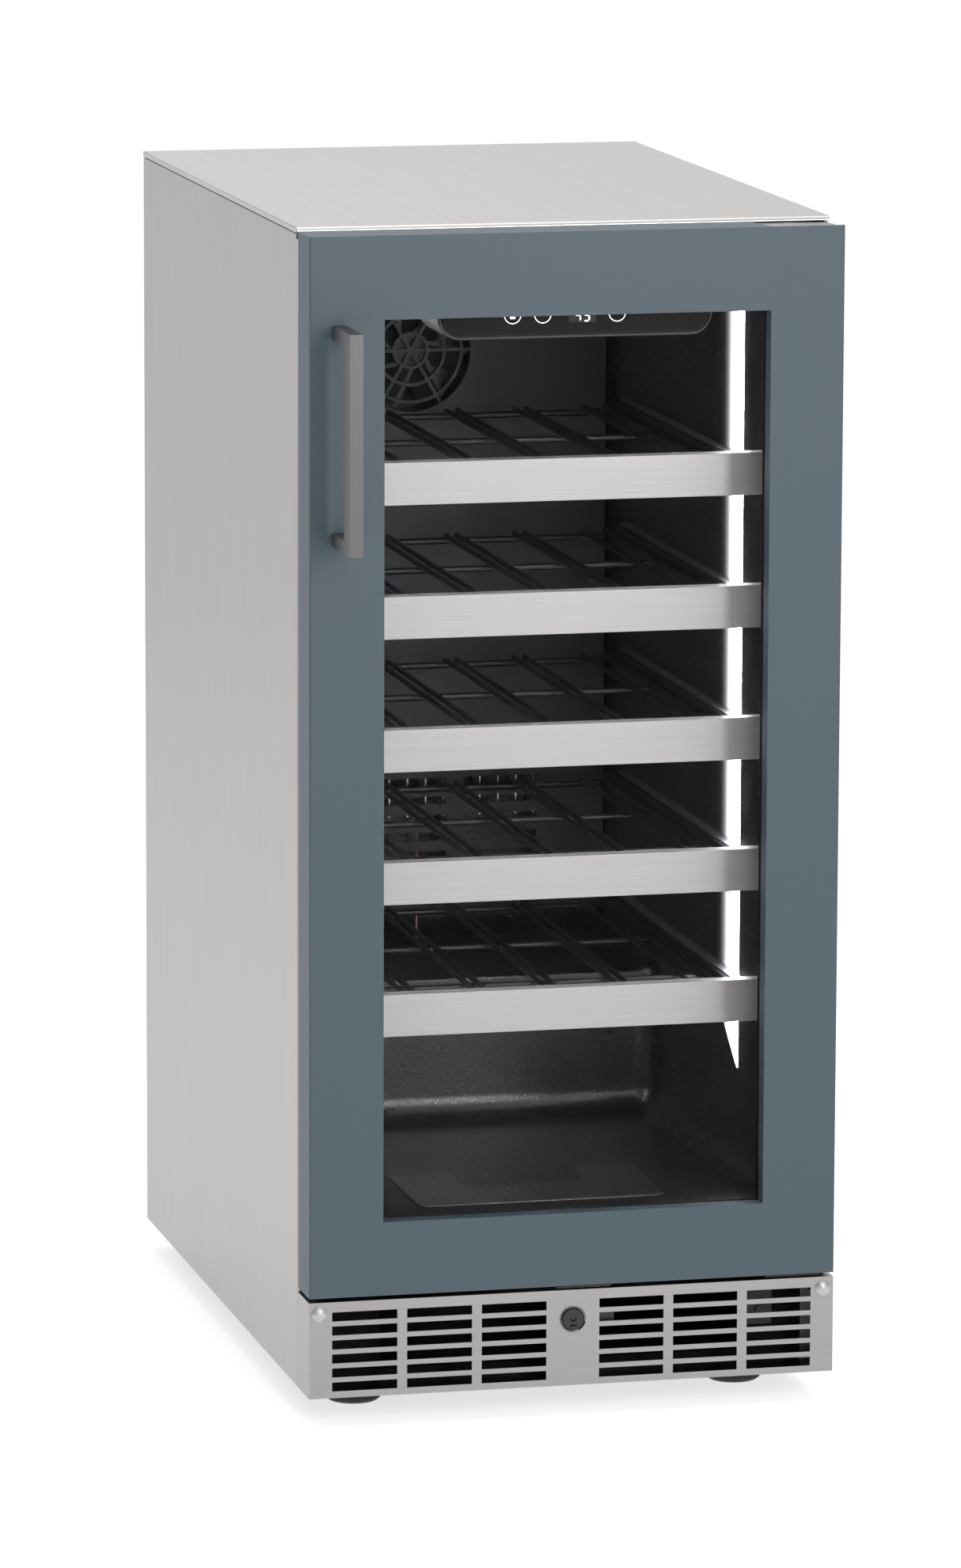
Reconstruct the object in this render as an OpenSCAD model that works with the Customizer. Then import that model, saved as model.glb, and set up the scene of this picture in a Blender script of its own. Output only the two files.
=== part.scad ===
// Built-in undercounter wine cooler: a steel cabinet on levelling feet, a glazed door hinged on the
// right, five sliding racks, and the cooling unit in a bay behind and below the cavity.
// Millimetres. +Z is up, -Y is the front, and the origin is on the floor under the middle of the
// whole object. Inside the modules, depths (y) are measured from the cabinet's front plane.

/* [Cabinet] */
// Width of the cabinet and the door
cab_w = 378; // [370:1:390]
// Height from the floor to the top panel
cab_h = 836; // [836:1:860]
// Depth from the front plane to the screw heads on the back
cab_d = 540; // [540:1:560]
// Clearance under the base pan
leg_h = 22; // [20:1:24]
// Thickness of the steel sheets
sheet = 1.2; // [0.8:0.1:1.4]

/* [Cavity] */
// Width between the liner's side walls
cav_w = 314; // [310:1:316]
// Height of the cavity floor above the ground
cav_floor = 134; // [130:1:136]
// Height of the cavity ceiling above the ground
cav_top = 800; // [798:1:802]
// Depth of the cavity
cav_d = 505; // [500:1:506]
// Depth at which the compressor step starts
step_y = 335; // [330:1:338]
// Height of the step's top above the ground
step_z = 240; // [238:1:242]
// Thickness of the liner
liner_t = 2.5; // [2:0.1:3]
// Radius of the cavity's upright corners
corner_r = 18; // [10:1:20]

/* [Door] */
// Thickness of the door, from its front face to the cabinet's front plane
door_t = 40; // [38:1:42]
// Height of the door
door_h = 739.9; // [739:0.1:740]
// Height of the door's lower edge above the ground
door_z = 93.8; // [93.6:0.1:94.4]
// Width of the window
win_w = 273; // [260:1:274]
// Height of the window
win_h = 630; // [600:1:632]
// Height of the window's lower edge above the ground
win_z = 146; // [144:1:150]
// Depth of the reveal between the door's face and the glass
reveal = 12; // [10:0.5:12]

/* [Handle] */
// Length of the grip
handle_l = 152; // [140:1:160]
// Width of the bar, seen from the front
handle_w = 9.5; // [9:0.5:12]
// Distance from the door's face to the front of the grip
handle_out = 54; // [44:1:58]

/* [Racks] */
// Number of racks
rack_count = 5; // [5]
// Height of the top rack's front above the ground
rack_top = 669; // [666:1:672]
// Distance from one rack to the next
rack_pitch = 93.8; // [93:0.1:94]
// Height of a rack's steel front
fascia_h = 30; // [26:1:32]
// Width of a rack's steel front
fascia_w = 304; // [300:1:306]

/* [Kick grille] */
// Height of the kick grille's upper edge above the ground
kick_top = 90.5; // [90:0.1:90.6]
// Width of a slot
slot_w = 46.5; // [40:0.5:48]
// Height of a slot
slot_h = 6.5; // [4:0.5:7]

/* [Hidden] */
$fn = 48;

// Clearance between parts that only lie next to each other
gap = 0.2;
// Oversize of a tool that cuts right through
thru = 1;

half_w = cab_w / 2;
front_y = door_t + handle_out - (cab_d + door_t + handle_out) / 2;
head_h = 1.5;                            // height of the screw heads on the back
back_y = cab_d - head_h;                 // outer face of the back sheets
lip_h = 4;                               // height of the top panel's side lips
inner_x = half_w - sheet - gap;          // reach of what lies between the side panels

// Cavity and its surroundings
cav_x = cav_w / 2;
foam_wall = 25;                          // foam between the liner's step and the bay
bay_y = step_y + liner_t + foam_wall;    // front wall of the machine bay
bay_top = step_z - liner_t - foam_wall - sheet;
floor_under = cav_floor - liner_t - 30;  // underside of the floor's foam
led_y = 104;
led_w = 70;
led_t = 5.5;
led_low = 211;
led_high = 792;
cover_y = 470;                           // front face of the evaporator cover
cover_x = 150;
cover_low = 262;
cover_high = 780;
evap_fan_z = 690;
evap_fan_r = 43;

// Machine bay
cond_x = 113;
cond_fan_y = 442;
cond_fan_z = 112;
cond_fan_r = 52;
comp_x = -95;
comp_y = 452;
comp_r = 62;
suction = [-77, 488];                    // where the suction line passes up to the coil
capillary = [10, 490];                   // where the capillary passes up to the coil
drier_z = 64;

// Door
face_y = -door_t;
door_back = -3.5;                        // plane of the door's rim, just clear of the cabinet
frame_back = -12;                        // plane of the door's inner face
skin = 2;                                // thickness of the door panel
door_top = door_z + door_h;
win_x = win_w / 2;
win_top = win_z + win_h;
glass_t = 3;
glass_edge = 9.5;                        // how far the glass reaches past the window
glass_y = face_y + reveal;
spacer_t = 8;
inner_glass_y = glass_y + glass_t + spacer_t;
seal_out = 172;                          // outer half-width of the gasket
seal_in = 160;
seal_low = 110;
seal_high = 820;
hinge_x = half_w - 9;
hinge_y = -17;
pin_r = 4;
running = 0.05;                          // radial clearance of a running fit
bush_r = 7;
plate_z = door_top - 4.5;                // underside of the top hinge plate
plate_t = 3;
recess_z = plate_z - 0.6;                // floor of the door's recess for that plate
pocket_x = half_w - 56;                  // left end of the space kept free for that plate
recess_y = hinge_y - 19.5;

// Handle
handle_x = -168.2;
handle_z = win_z + win_h - 3 - handle_l;
grip_t = 18;
handle_screw_r = 2.5;

// Kick grille and lock
kick_y = -38.5;
kick_x = half_w;
kick_columns = [-149.3, -95.8, -42.3, 42.3, 95.8, 149.3];
kick_rows = [30 : 10 : 80];
kick_screw = [181.5, 82];
lock_z = 69.6;
lock_r = 9.4;
plug_r = 7.6;
cam_l = 31;
cam_y = -33;
keeper_low = -6;                         // x range of the keeper's pocket
keeper_high = 26;

// Racks: the axis height of each rack's wires, from the top rack down
function wire_z(i) = rack_top - 22 - (i - 1) * rack_pitch;
fascia_y = 22;
fascia_d = 12;
rack_end = 448;
runner_x = 149;
rail_y = 40;
rail_l = 385;
bottle_pitch = 52.5;
cradle = 22;                             // half the distance between the two wires of a cradle

foot_x = 139;
foot_y = [45, 495];
foot_r = 20;
stud_r = 5;

steel = "#c9c6c1";
black = "#1c1c1e";
zinc = "#9a9c9f";
blue = "#65727c";
copper = "#b8734a";

// Moves children from cabinet depths into the part's frame
module placed() { translate([0, front_y, 0]) children(); }

// A box from its lowest to its highest corner
module block(lo, hi) { translate(lo) cube(hi - lo); }

// A box and its mirror image on the left
module both_sides() { children(); mirror([1, 0, 0]) children(); }

// A cylinder along y, from y0 to y1
module rod_y(x, z, y0, y1, r) { translate([x, y0, z]) rotate([-90, 0, 0]) cylinder(h = y1 - y0, r = r); }

// A cylinder along x
module rod_x(x0, x1, y, z, r) { translate([x0, y, z]) rotate([0, 90, 0]) cylinder(h = x1 - x0, r = r); }

// A cylinder along z
module rod_z(x, y, z0, z1, r) { translate([x, y, z0]) cylinder(h = z1 - z0, r = r); }

// A rectangular ring in the plane of the door
module door_ring(out_x, out_low, out_high, in_x, in_low, in_high, y0, y1) {
    difference() {
        block([-out_x, y0, out_low], [out_x, y1, out_high]);
        block([-in_x, y0 - thru, in_low], [in_x, y1 + thru, in_high]);
    }
}

// One level of the cavity, with round upright corners at the back
module cavity_level(half, back, low, high, r) {
    block([-half, -thru, low], [half, back - r, high]);
    block([-half + r, -thru, low], [half - r, back, high]);
    for (s = [-1, 1]) rod_z(s * (half - r), back - r, low, high, r);
}

// The whole cavity above and in front of the step, grown by g on every side
module cavity(g) {
    cavity_level(cav_x + g, cav_d + g, step_z - g, cav_top + g, corner_r + g);
    cavity_level(cav_x + g, step_y + g, cav_floor - g, step_z + thru, corner_r + g);
}

// Slanted outline of a light bar, seen from the side
module led_outline(grow) {
    slant = 48;
    polygon([[led_y - grow, led_low - grow], [led_y + led_w + grow, led_low + slant - grow],
        [led_y + led_w + grow, led_high + grow], [led_y - grow, led_high + grow]]);
}

// A prism of that outline on the right side wall, from x0 to x1
module led_prism(x0, x1, grow) {
    translate([x0, 0, 0]) rotate([90, 0, 90]) linear_extrude(x1 - x0) led_outline(grow);
}

// ---- Cabinet shell ----

// Side panel on the right: a sheet with a folded front and rear edge
module side_shape() {
    fold = 13;
    bend = 3;
    low = leg_h;
    high = cab_h - lip_h - 0.6;
    x1 = half_w;
    front_high = plate_z - 1;
    block([x1 - sheet, bend, low], [x1, back_y - 2 * sheet, high]);
    block([x1 - fold, 0, low], [x1 - bend, sheet, front_high]);
    block([x1 - fold, back_y - 2 * sheet, low], [x1, back_y - sheet, high]);
    intersection() {
        difference() {
            rod_z(x1 - bend, bend, low, front_high, bend);
            rod_z(x1 - bend, bend, low - thru, front_high + thru, bend - sheet);
        }
        block([x1 - bend, 0, low], [x1, bend, front_high]);
    }
}

module side_panel_right() { color(steel) placed() side_shape(); }

module side_panel_left() { color(steel) placed() mirror([1, 0, 0]) side_shape(); }

// Top panel: a cap with a round front edge and short lips over the side panels
module top_panel() {
    bend = 3;
    color(steel) placed() {
        block([-half_w, bend, cab_h - sheet], [half_w, back_y, cab_h]);
        both_sides() block([half_w - sheet, bend, cab_h - lip_h], [half_w, back_y, cab_h - sheet]);
        intersection() {
            difference() {
                rod_x(-half_w, half_w, bend, cab_h - bend, bend);
                rod_x(-half_w - thru, half_w + thru, bend, cab_h - bend, bend - sheet);
            }
            block([-half_w, 0, cab_h - bend], [half_w, bend, cab_h]);
        }
    }
}

// Upper back sheet
module back_panel() {
    color(zinc) placed()
        block([-inner_x, back_y - sheet, step_z + 4], [inner_x, back_y, cab_h - sheet - gap]);
}

// Lower back sheet over the machine bay, with louvre slots and the inlet's cut-out
module service_cover() {
    color(zinc) placed() difference() {
        block([-inner_x, back_y - sheet, leg_h + 2], [inner_x, back_y, step_z + 3]);
        for (x = [-60 : 40 : 140], z = [60 : 12 : 204])
            block([x - 16, back_y - sheet - thru, z], [x + 16, back_y + thru, z + 5]);
        block([-164, back_y - sheet - thru, 49], [-136, back_y + thru, 71]);
    }
}

screw_spots = [for (x = [-181, 181], z = [34, 120, 232, 256, 540, 822]) [x, z]];

module rear_screws() {
    color(zinc) placed() for (p = screw_spots) rod_y(p[0], p[1], back_y, cab_d, 4);
}

// Floor of the machine bay, with the front frame, the nuts for the feet and the grille's tabs
module base_pan() {
    pan_t = 2;
    apron_x = half_w - 14;
    color(black) placed() difference() {
        union() {
            block([-inner_x, 3, leg_h], [inner_x, back_y - 2 * sheet - gap, leg_h + pan_t]);
            block([-apron_x, 1, leg_h], [apron_x, 4, leg_h + pan_t]);
            difference() {
                block([-apron_x, 0, leg_h], [apron_x, pan_t, floor_under - sheet - gap]);
                block([-130, -thru, leg_h + 10], [130, pan_t + thru, floor_under - 10]);
            }
            both_sides() {
                block([inner_x - pan_t, 20, leg_h], [inner_x, 520, leg_h + 40]);
                block([kick_screw[0] - 4.5, kick_y + sheet + gap, kick_screw[1] - 5],
                    [kick_screw[0] + 4.5, -gap, kick_screw[1] + 5]);
                block([half_w - 26, -2, kick_screw[1] - 5],
                    [kick_screw[0] + 4.5, -gap, kick_screw[1] + 5]);
                block([half_w - 26, -2, kick_screw[1] - 5], [half_w - 20, 0, kick_screw[1] + 5]);
                for (y = foot_y) rod_z(foot_x, y, leg_h, leg_h + 12, 11);
            }
        }
        both_sides() {
            for (y = foot_y) rod_z(foot_x, y, leg_h - thru, leg_h + 12 + thru, stud_r);
            rod_y(kick_screw[0], kick_screw[1], kick_y, kick_y + 20, 1.75);
        }
        for (x = [-60, 60]) rod_z(x, 515, leg_h - thru, leg_h + pan_t + thru, 3.5);
    }
}

// Sheet that closes the foam off from the machine bay and the air path
module bay_partition() {
    color(zinc) placed() difference() {
        union() {
            block([-inner_x, 3, floor_under - sheet], [inner_x, bay_y + sheet, floor_under]);
            block([-inner_x, bay_y, floor_under - sheet], [inner_x, bay_y + sheet, bay_top + sheet]);
            block([-inner_x, bay_y, bay_top], [inner_x, back_y - 2 * sheet - gap, bay_top + sheet]);
        }
        rod_z(suction[0], suction[1], bay_top - thru, bay_top + sheet + thru, 5);
        rod_z(capillary[0], capillary[1], bay_top - thru, bay_top + sheet + thru, 2.5);
    }
}

// Moulded inner wall of the cavity, with its front flange and the pockets of the light bars
module inner_liner() {
    flange = half_w - 13 - gap;
    pocket = cav_x + led_t + 0.5;
    color(black) placed() difference() {
        union() {
            intersection() {
                cavity(liner_t);
                block([-half_w, 0, 0], [half_w, cab_d, cab_h]);
            }
            block([-flange, 0, floor_under + gap], [flange, liner_t, plate_z - 1]);
            block([-flange, 0, plate_z - 2], [pocket_x - gap, liner_t, cab_h - 3 - gap]);
            both_sides() led_prism(cav_x, pocket + 1.5, 1.5);
        }
        cavity(0);
        both_sides() led_prism(cav_x - thru, pocket, 0.2);
        rod_z(suction[0], suction[1], step_z - 2 * liner_t, step_z + thru, 5);
        rod_z(capillary[0], capillary[1], step_z - 2 * liner_t, step_z + thru, 2.5);
    }
}

// Foam between the liner and the outer sheets
module insulation_foam() {
    clear = liner_t + 0.3;
    color("#d8d2b8") placed() difference() {
        block([-inner_x, liner_t + 0.3, floor_under + gap],
            [inner_x, back_y - 2 * sheet - gap, cab_h - sheet - gap]);
        cavity(clear);
        both_sides() led_prism(cav_x, cav_x + led_t + 2.3, 1.8);
        block([-half_w, bay_y - gap, 0], [half_w, cab_d, bay_top + sheet + gap]);
        block([pocket_x, -thru, recess_z], [half_w, 52, cab_h]);
        for (p = hinge_top_screws) rod_z(p[0], p[1], plate_z - 12, plate_z, 2.4);
        rod_z(suction[0], suction[1], bay_top, step_z, 5);
        rod_z(capillary[0], capillary[1], bay_top, step_z, 2.5);
    }
}

// ---- Cavity fittings ----

// Cover over the coil and fan on the back wall, with intake slots and a guarded outlet
module evaporator_cover() {
    wall = 2.5;
    color(black) placed() {
        difference() {
            intersection() {
                block([-cover_x, cover_y, cover_low], [cover_x, cav_d, cover_high]);
                cavity(-gap);
            }
            block([-cover_x + wall, cover_y + wall, cover_low + wall],
                [cover_x - wall, cav_d + thru, cover_high - wall]);
            rod_y(0, evap_fan_z, cover_y - thru, cover_y + wall + thru, evap_fan_r + 3);
            for (x = [-70, 0, 70], z = [290 : 14 : 360])
                block([x - 28, cover_y - thru, z], [x + 28, cover_y + wall + thru, z + 6]);
            both_sides() block([cover_x - 5, 485, 640], [cover_x + thru, 497, 740]);
            rod_z(suction[0], suction[1], cover_low - thru, cover_low + wall + thru, 5);
            rod_z(capillary[0], capillary[1], cover_low - thru, cover_low + wall + thru, 2.5);
        }
        for (r = [14, 27, 40]) difference() {
            rod_y(0, evap_fan_z, cover_y, cover_y + wall, r);
            rod_y(0, evap_fan_z, cover_y - thru, cover_y + wall + thru, r - 2.4);
        }
        for (a = [0 : 60 : 120]) translate([0, cover_y, evap_fan_z]) rotate([0, a, 0])
            block([-evap_fan_r - 3.5, 0.3, -1.2], [evap_fan_r + 3.5, wall - 0.3, 1.2]);
    }
}

// Finned coil: upright fins, straight tubes and their return bends
module evaporator_coil() {
    rows = [350 : 30 : 500];
    y = 489;
    half = 112;
    color("#b9bcc0") placed() {
        difference() {
            for (x = [-98 : 14 : 98]) block([x - 0.5, 478, 335], [x + 0.5, 500, 515]);
            for (z = rows) rod_x(-120, 120, y, z, 4);
        }
        for (z = rows) rod_x(-half, half, y, z, 4);
        for (i = [0 : 4])
            translate([(i % 2 == 0 ? 1 : -1) * half, y, 365 + 30 * i])
                rotate([90, i % 2 == 0 ? 0 : 180, 0]) rotate([0, 0, -90])
                    rotate_extrude(angle = 180) translate([15, 0]) circle(4);
    }
}

// Fan with pitched blades and a shaft; the axis is along y and the blades are centred on y = 0
module fan_rotor(r, hub, depth, blades, shaft_r, shaft_l) {
    pitch = 35;
    difference() {
        union() {
            rod_y(0, 0, -depth / 2, depth / 2, hub);
            intersection() {
                difference() {
                    rod_y(0, 0, -depth / 2, depth / 2, r);
                    rod_y(0, 0, -depth, depth, hub - 1);
                }
                for (i = [0 : blades - 1])
                    rotate([0, i * 360 / blades, 0]) rotate([0, 0, pitch])
                        block([-depth, -0.9, 0], [depth, 0.9, r + 5]);
            }
            rod_y(0, 0, 0, shaft_l, shaft_r);
        }
        rod_y(0, 0, -depth / 2 - thru, -depth / 2 + 1.5, hub - 4);
    }
}

// Motor on a cross of four arms, with a bore for the rotor's shaft on the side at y = 0
module fan_motor(r, depth, reach, first_arm, bore_r, bore_l) {
    difference() {
        union() {
            rod_y(0, 0, 0, depth, r);
            for (a = [first_arm : 90 : 359]) rotate([0, a, 0])
                block([0, depth - 3, -4], [reach, depth, 4]);
        }
        rod_y(0, 0, -thru, bore_l, bore_r);
    }
}

module evaporator_fan() {
    color("#3a3d40") placed() translate([0, 480, evap_fan_z]) fan_rotor(evap_fan_r, 13, 11, 7, 1.5, 14);
}

module evaporator_fan_motor() {
    color("#2a2c2f") placed() translate([0, 487, evap_fan_z])
        fan_motor(18, 17.6, 50, 45, 1.5 + running, 9);
}

module light_shape() { led_prism(cav_x + gap, cav_x + led_t, 0); }

module light_bar_right() { color("#f2f5fa") placed() light_shape(); }

module light_bar_left() { color("#f2f5fa") placed() mirror([1, 0, 0]) light_shape(); }

// Outline of the control housing, seen from the front: round lower corners
module control_outline(half, low, high, r) {
    translate([-half, low + r]) square([2 * half, high - low - r]);
    translate([-half + r, low]) square([2 * (half - r), r + 1]);
    for (s = [-1, 1]) translate([s * (half - r), low + r]) circle(r);
}

module control_prism(half, low, high, r, y0, y1) {
    translate([control_c, y1, 0]) rotate([90, 0, 0]) linear_extrude(y1 - y0)
        control_outline(half, low, high, r);
}

control_c = 9;                           // its middle lies right of the cavity's
control_x = 98;
control_low = 755;
control_y = 6;
control_d = 60;

module control_housing() {
    wall = 2;
    color(black) placed() difference() {
        control_prism(control_x, control_low, cav_top - gap, 16, control_y, control_y + control_d);
        control_prism(control_x - wall, control_low + wall, cav_top + thru, 14,
            control_y + wall, control_y + control_d - wall);
    }
}

module control_glass() {
    color("#0c0d10") placed()
        control_prism(control_x - 3, control_low + 3, cav_top - 3, 13, control_y - 1.6, control_y);
}

// Fixed slide members on the right wall, one for each rack, each with a groove for the runner
module rails_shape() {
    for (i = [1 : rack_count]) difference() {
        block([runner_x + 0.3, rail_y, wire_z(i) - 9],
            [cav_x - gap, rail_y + rail_l, wire_z(i) + 9]);
        block([runner_x, rail_y - thru, wire_z(i) - 4.3],
            [runner_x + 2.4, rail_y + rail_l + thru, wire_z(i) + 4.3]);
    }
}

module rack_rails_right() { color(zinc) placed() rails_shape(); }

module rack_rails_left() { color(zinc) placed() mirror([1, 0, 0]) rails_shape(); }

// ---- Racks ----

// Steel front of a rack: a channel that is open at the back
module rack_fascia(i) {
    top = wire_z(i) + 22;
    low = top - fascia_h;
    x = fascia_w / 2;
    color(steel) placed() difference() {
        block([-x, fascia_y, low], [x, fascia_y + fascia_d, top]);
        block([-x + sheet, fascia_y + sheet, low + sheet],
            [x - sheet, fascia_y + fascia_d + thru, top - sheet]);
    }
}

// Wire shelf of a rack with a runner on each side
module rack_shelf(i) {
    z = wire_z(i);
    wire_r = 2;
    rod_r = 2.5;
    side_x = 144.5;
    first = fascia_y + sheet + rod_r + 0.1;
    color(black) placed() {
        for (k = [-2 : 2], s = [-1, 1])
            rod_y(k * bottle_pitch + s * cradle, z, first, rack_end, wire_r);
        for (y = [first, 165, 307, rack_end])
            rod_x(-side_x, side_x, y, z - 4, rod_r);
        both_sides() {
            rod_y(side_x, z, first, rack_end, rod_r);
            block([side_x + 1, rail_y - 2, z - 8], [runner_x, rail_y + rail_l, z + 8]);
            block([runner_x - 1, rail_y, z - 4], [runner_x + 2, rail_y + rail_l, z + 4]);
        }
    }
}

// ---- Machine bay ----

module compressor() {
    r = comp_r;
    low = 52;
    high = 148;
    color("#26282b") placed() translate([comp_x, comp_y, 0]) {
        rod_z(0, 0, low, high, r);
        intersection() {
            translate([0, 0, high - 30]) sphere(r = 66);
            rod_z(0, 0, high - 1, high + 40, r - 1);
        }
        rod_z(0, 0, low - 6, low + 1, r - 8);
        difference() {
            block([-74, -50, 42], [74, 50, 47]);
            for (x = [-64, 64], y = [-40, 40]) rod_z(x, y, 41, 48, 5 + 0.1);
        }
        block([r - 6, -18, 75], [r + 12, 18, 115]);
    }
}

module compressor_mounts() {
    color("#141414") placed() translate([comp_x, comp_y, 0])
        for (x = [-64, 64], y = [-40, 40]) {
            rod_z(x, y, leg_h + 2, 42 - 0.1, 9);
            rod_z(x, y, leg_h + 2, 50, 5);
        }
}

module condenser_coil() {
    rows = [52 : 24 : 172];
    y = 398;
    low = 60;
    high = 166;
    color("#33363a") placed() {
        difference() {
            for (x = [low + 8 : 10 : high - 6]) block([x - 0.5, 384, 38], [x + 0.5, 412, 186]);
            for (z = rows) rod_x(low - 9, high + 9, y, z, 4);
        }
        for (z = rows) rod_x(low, high, y, z, 4);
        for (i = [0 : 4])
            translate([i % 2 == 0 ? high : low, y, 64 + 24 * i])
                rotate([90, i % 2 == 0 ? 0 : 180, 0]) rotate([0, 0, -90])
                    rotate_extrude(angle = 180) translate([12, 0]) circle(4);
        for (x = [low + 8, high - 8]) block([x - 5, 384, leg_h + 2], [x + 5, 412, 39]);
    }
}

module condenser_fan() {
    color("#4a4d50") placed() translate([cond_x, cond_fan_y - 8, cond_fan_z])
        fan_rotor(cond_fan_r, 16, 16, 7, 2.5, 24);
}

// Square shroud behind the condenser with the fan's motor on a cross of arms
module condenser_fan_motor() {
    half = 62;
    color("#2a2c2f") placed() translate([cond_x, cond_fan_y, cond_fan_z]) {
        translate([0, 2, 0]) fan_motor(22, 30, 60.5, 0, 2.5 + running, 20);
        difference() {
            block([-half, -20, -cond_fan_z + leg_h + 2], [half, 32, half]);
            block([-half + 3, -21, -half + 3], [half - 3, 33, half - 3]);
        }
    }
}

module drip_tray() {
    wall = 1.5;
    low = [-172, 384, bay_top - 20];
    high = [-24, 478, bay_top - 4];
    color("#2b2d2f") placed() difference() {
        block(low, high);
        block(low + [wall, wall, wall], high + [-wall, -wall, thru]);
    }
}

module filter_drier() {
    color(copper) placed() rod_z(capillary[0], capillary[1], drier_z, drier_z + 86, 9);
}

// A run of tube along points, with a slightly wider brazed joint at each corner
module tube_run(points, r) {
    for (i = [0 : len(points) - 2]) {
        d = points[i + 1] - points[i];
        l = norm(d);
        translate(points[i]) rotate([0, acos(d[2] / l), atan2(d[1], d[0])]) cylinder(h = l, r = r);
    }
    for (i = [1 : len(points) - 2]) translate(points[i]) sphere(r = r + 0.8);
}

module refrigerant_lines() {
    s = suction;
    c = capillary;
    color(copper) placed() {
        tube_run([[comp_x + comp_r, comp_y, 140], [22, comp_y, 140], [22, 398, 172], [59, 398, 172]], 3);
        tube_run([[59, 398, 52], [c[0], 398, 52], [c[0], c[1], 52], [c[0], c[1], drier_z - 0.1]], 3);
        tube_run([[s[0], s[1], 346], [s[0], s[1], 173.5]], 4);
        tube_run([[c[0], c[1], 345], [c[0], c[1], drier_z + 86.1]], 1.5);
    }
}

// Three-pin appliance inlet in the service cover
module power_inlet() {
    y0 = back_y - 24;
    color("#101010") placed() difference() {
        union() {
            block([-163.8, y0, 49.2], [-136.2, back_y, 70.8]);
            block([-168, back_y, 46], [-132, cab_d, 74]);
        }
        difference() {
            block([-162, y0 + 7, 51], [-138, cab_d + thru, 69]);
            for (x = [-7, 0, 7]) block([x - 151, y0 + 6, 58], [x - 149, back_y - 3, 62]);
        }
    }
}

// ---- Kick grille, lock and feet ----

// Folded steel grille with slots, screw holes and a notch in its upper flange for the lock's cam
module kick_grille() {
    back = kick_y + sheet;
    color(steel) placed() difference() {
        union() {
            block([-kick_x, kick_y, leg_h], [kick_x, back, kick_top]);
            both_sides() block([kick_x - sheet, kick_y, leg_h], [kick_x, -0.8, kick_top]);
            block([-kick_x, kick_y, kick_top - sheet], [kick_x, -6, kick_top]);
            block([-kick_x, kick_y, leg_h], [kick_x, -2, leg_h + sheet]);
        }
        for (x = kick_columns, z = kick_rows)
            block([x - slot_w / 2, kick_y - thru, z - slot_h / 2],
                [x + slot_w / 2, back + thru, z + slot_h / 2]);
        rod_y(0, lock_z, kick_y - thru, back + thru, lock_r - 0.6);
        both_sides() rod_y(kick_screw[0], kick_screw[1], kick_y - thru, back + thru, 2);
        block([-10, cam_y - 3, kick_top - 3], [30, cam_y + 5, kick_top + thru]);
    }
}

// Domed screws at the grille's upper corners
module grille_screws() {
    dome = 8;
    head = 3;
    color(steel) placed() both_sides() {
        intersection() {
            translate([kick_screw[0], kick_y - head + dome, kick_screw[1]]) sphere(r = dome);
            rod_y(kick_screw[0], kick_screw[1], kick_y - head - thru, kick_y, 5.6);
        }
        rod_y(kick_screw[0], kick_screw[1], kick_y - 0.1, kick_y + 12, 1.7);
    }
}

module lock_barrel() {
    color("#d5d6d8") placed() difference() {
        union() {
            rod_y(0, lock_z, kick_y - 2, kick_y, lock_r);
            rod_y(0, lock_z, kick_y - 0.5, cam_y - 0.4, lock_r - 0.8);
        }
        rod_y(0, lock_z, kick_y - 3, cam_y + thru, plug_r + running);
    }
}

// Turning plug with its key slot and the cam that rises into the door
module lock_plug() {
    color("#4b4e50") placed() translate([0, 0, lock_z]) difference() {
        union() {
            rod_y(0, 0, kick_y - 1.6, cam_y + 2, plug_r);
            block([0, cam_y, -4], [cam_l, cam_y + 2, 4]);
        }
        block([-2.4, kick_y - 3, -5.1], [2.4, kick_y + 4, -3.9]);
        for (s = [-1, 1]) translate([0, 0, -1.6]) rotate([0, s * 48, 0])
            block([-0.5, kick_y - 3, 0], [0.5, kick_y - 1, 3]);
    }
}

// Levelling foot: pad, hexagon and threaded stud
module foot(x, y) {
    color(black) placed() translate([x, y, 0]) {
        cylinder(h = 2, r1 = foot_r - 2, r2 = foot_r);
        translate([0, 0, 1.9]) cylinder(h = 9, r = foot_r);
        translate([0, 0, 10.8]) cylinder(h = 8, r = 9, $fn = 6);
        translate([0, 0, 18]) cylinder(h = 22, r = stud_r - running);
    }
}

// ---- Hinges ----

hinge_top_screws = [[148, 30], [172, 30]];
hinge_low_screws = [[146, 60], [146, 78]];

// Outline of a hinge plate, seen from above: a slanted left end and a round end at the pin;
// the plate under the top panel also reaches back into the cabinet
module hinge_outline(back) {
    left = hinge_x - 40;
    slant = 6;
    front = recess_y + 1.8;
    right = hinge_x - 1 + bush_r;
    polygon([[left, front], [hinge_x, front], [hinge_x, -gap], [left - slant, -gap]]);
    translate([hinge_x, hinge_y]) circle(bush_r + 0.6);
    translate([hinge_x - 1, hinge_y]) square([bush_r, -gap - hinge_y]);
    if (back > 0)
        translate([left - slant, -gap - 1]) square([right - left + slant, back + gap + 1]);
}

// Plate under the top panel that reaches over the door, with the upper hinge pin
module hinge_bracket_top() {
    color(steel) placed() {
        difference() {
            translate([0, 0, plate_z]) linear_extrude(plate_t) hinge_outline(48);
            for (p = hinge_top_screws) rod_z(p[0], p[1], plate_z - thru, plate_z + plate_t + thru, 2.4);
        }
        rod_z(hinge_x, hinge_y, plate_z - 11, plate_z + 0.1, pin_r);
    }
}

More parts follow.
